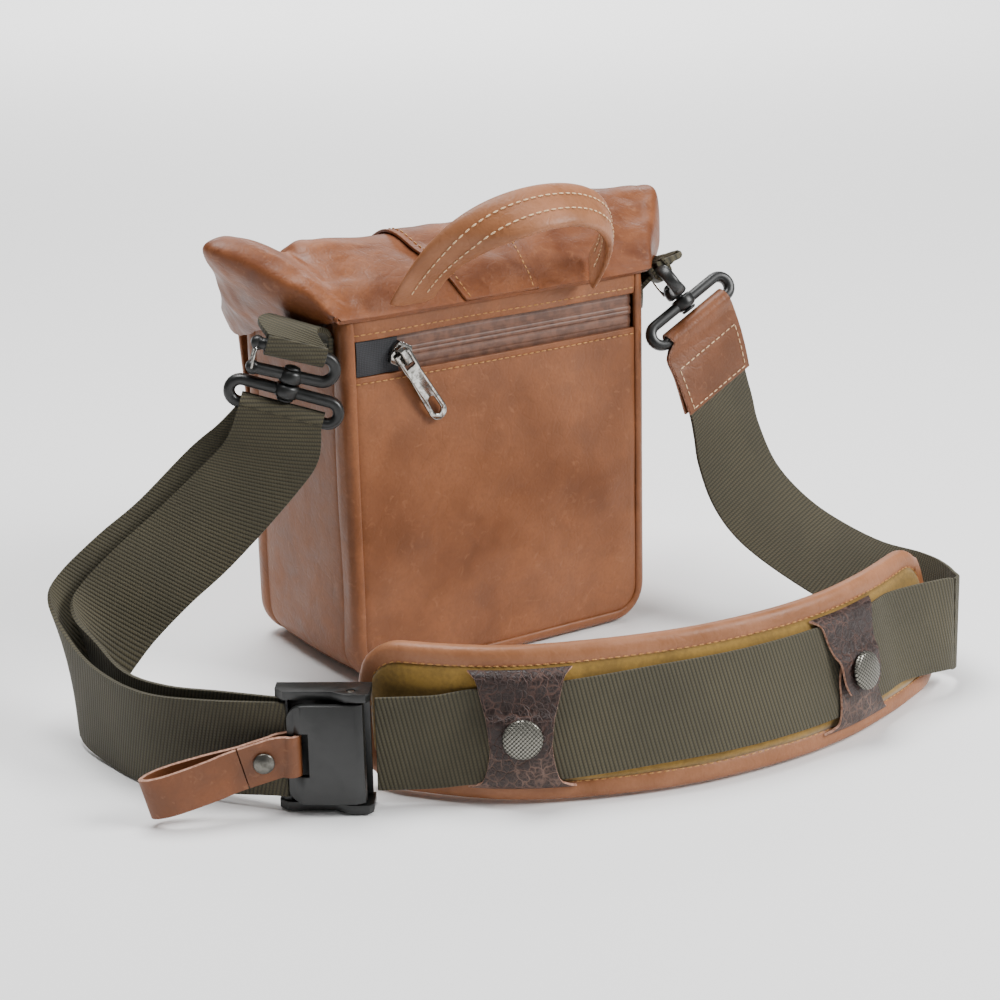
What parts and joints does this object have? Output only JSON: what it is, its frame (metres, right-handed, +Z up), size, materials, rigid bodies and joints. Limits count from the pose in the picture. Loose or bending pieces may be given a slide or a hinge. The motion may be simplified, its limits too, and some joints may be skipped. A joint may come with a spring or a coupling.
{
  "type": "camera bag",
  "caption": "Leather box-shaped camera bag with a lid, carry handle, zipped back pocket and a padded webbing shoulder strap on swivel hooks.",
  "frame": {"origin": "centre of the bag's flat base, on the surface it stands on", "axes": "+Z up; -Y is the panel with the zip pocket, +Y the closing flap; +X to the right when looking at the zip pocket"},
  "size_m": [0.3708, 0.2813, 0.2249],
  "materials": {
    "tan_leather": "smooth waxed",
    "dark_leather": "crackled",
    "olive_webbing": "ribbed weave",
    "felt": "brushed felt",
    "zip_tape": "coated",
    "charcoal_patch": "matt",
    "black_plastic": "satin",
    "bright_metal": "polished",
    "pewter": "antique",
    "lining": "soft",
    "board": "matt"
  },
  "bodies": {
    "bag_body": {"adjuster_frame": "black_plastic", "back_panel_lower": "tan_leather", "back_panel_upper": "tan_leather", "base_board": "board", "base_panel": "tan_leather", "clasp_socket": "bright_metal", "divider_left": "lining", "divider_right": "lining", "front_panel": "tan_leather", "lever_pin": "pewter", "pad_binding": "tan_leather", "pad_cushion": "tan_leather", "pad_facing": "felt", "padded_liner": "lining", "piping_back": "tan_leather", "piping_front": "tan_leather", "pocket_bag": "lining", "side_panel_left": "tan_leather", "side_panel_right": "tan_leather", "strap_end_leather": "tan_leather", "strap_ring_left": "black_plastic", "strap_ring_right": "black_plastic", "swivel_rivet_left": "pewter", "swivel_rivet_right": "pewter", "tab_anchor_left": "olive_webbing", "tab_anchor_right": "olive_webbing", "webbing_left_inner": "olive_webbing", "webbing_left_outer": "olive_webbing", "webbing_over_pad": "olive_webbing", "webbing_right_rise": "olive_webbing", "zip_coil": "zip_tape", "zip_garage": "charcoal_patch", "zip_tape_lower": "zip_tape", "zip_tape_upper": "zip_tape"},
    "lid": {"lid_cover": "tan_leather", "lid_band": "tan_leather"},
    "flap": {"front_flap": "tan_leather", "flap_band": "tan_leather", "clasp_magnet": "bright_metal"},
    "carry_handle": {"handle": "tan_leather"},
    "zip": {"zip_slider": "bright_metal"},
    "puller": {"zip_puller": "bright_metal"},
    "swivel_hook_left": {"hook_left": "black_plastic", "tab_loop_left": "olive_webbing"},
    "hook_gate_left": {"wire_gate_left": "bright_metal"},
    "swivel_hook_right": {"hook_right": "black_plastic", "tab_loop_right": "olive_webbing"},
    "hook_gate_right": {"wire_gate_right": "bright_metal"},
    "lever": {"adjuster_lever": "black_plastic"},
    "release_tab": {"pull_tab": "tan_leather", "pull_tab_rivet": "pewter"},
    "keeper_flap_upper_left": {"keeper_upper_left": "dark_leather", "snap_cap_left": "pewter"},
    "keeper_flap_lower_left": {"keeper_lower_left": "dark_leather", "snap_stud_left": "pewter"},
    "keeper_flap_upper_right": {"keeper_upper_right": "dark_leather", "snap_cap_right": "pewter"},
    "keeper_flap_lower_right": {"keeper_lower_right": "dark_leather", "snap_stud_right": "pewter"}
  },
  "joints": [
    {"name": "lid_open", "type": "hinge", "parent": "bag_body", "child": "lid", "pos_m": [0, -0.046, 0.171], "axis": [1, 0, 0], "range_deg": [0, 92]},
    {"name": "flap_open", "type": "hinge", "parent": "lid", "child": "flap", "pos_m": [0, 0.054, 0.158], "axis": [1, 0, 0], "range_deg": [0, 100]},
    {"name": "handle_swing", "type": "hinge", "parent": "lid", "child": "carry_handle", "pos_m": [0, -0.049, 0.172], "axis": [-1, 0, 0], "range_deg": [-95, 35]},
    {"name": "zip_slide", "type": "slide", "parent": "bag_body", "child": "zip", "axis": [1, 0, 0], "range_m": [0, 0.1]},
    {"name": "puller_lift", "type": "hinge", "parent": "zip", "child": "puller", "pos_m": [-0.05281, -0.0502, 0.15151], "axis": [-0.8572, 0, -0.515], "range_deg": [0, 60]},
    {"name": "swivel_left", "type": "hinge", "parent": "bag_body", "child": "swivel_hook_left", "pos_m": [-0.10206, -0.03935, 0.14798], "axis": [0.2454, -0.1545, 0.957], "range_deg": [-15, 15]},
    {"name": "gate_left", "type": "hinge", "parent": "swivel_hook_left", "child": "hook_gate_left", "pos_m": [-0.1173, -0.03262, 0.15298], "axis": [0.4149, 0.909, 0.0404], "range_deg": [0, 10], "stiffness_Nm_per_rad": 0.02},
    {"name": "swivel_right", "type": "hinge", "parent": "bag_body", "child": "swivel_hook_right", "pos_m": [0.09813, -0.04415, 0.15627], "axis": [-0.4061, 0.4877, 0.7728], "range_deg": [-15, 15]},
    {"name": "gate_right", "type": "hinge", "parent": "swivel_hook_right", "child": "hook_gate_right", "pos_m": [0.10664, -0.0297, 0.15163], "axis": [0.7718, -0.2698, 0.5758], "range_deg": [0, 10], "stiffness_Nm_per_rad": 0.02},
    {"name": "lever_open", "type": "hinge", "parent": "bag_body", "child": "lever", "pos_m": [-0.14354, -0.15456, 0.026], "axis": [0, 0, 1], "range_deg": [0, 80]},
    {"name": "pull_tab_swing", "type": "hinge", "parent": "lever", "child": "release_tab", "pos_m": [-0.16542, -0.14342, 0.026], "axis": [0, 0, 1], "range_deg": [-10, 40]},
    {"name": "keeper_open_left", "type": "hinge", "parent": "bag_body", "child": "keeper_flap_upper_left", "pos_m": [-0.08432, -0.18594, 0.05742], "axis": [-0.8645, 0.5026, 0], "range_deg": [0, 110]},
    {"name": "keeper_fold_left", "type": "hinge", "parent": "bag_body", "child": "keeper_flap_lower_left", "pos_m": [-0.0876, -0.19069, 0.00524], "axis": [0.8645, -0.5026, 0], "range_deg": [0, 60]},
    {"name": "keeper_open_right", "type": "hinge", "parent": "bag_body", "child": "keeper_flap_upper_right", "pos_m": [0.06283, -0.20726, 0.05675], "axis": [-0.9728, -0.2318, 0], "range_deg": [0, 110]},
    {"name": "keeper_fold_right", "type": "hinge", "parent": "bag_body", "child": "keeper_flap_lower_right", "pos_m": [0.06529, -0.2179, 0.0054], "axis": [0.9728, 0.2318, 0], "range_deg": [0, 60]}
  ],
  "couplings": [
    {"joint": "keeper_fold_left", "follows": "keeper_open_left", "ratio": 0.5},
    {"joint": "keeper_fold_right", "follows": "keeper_open_right", "ratio": 0.5}
  ]
}
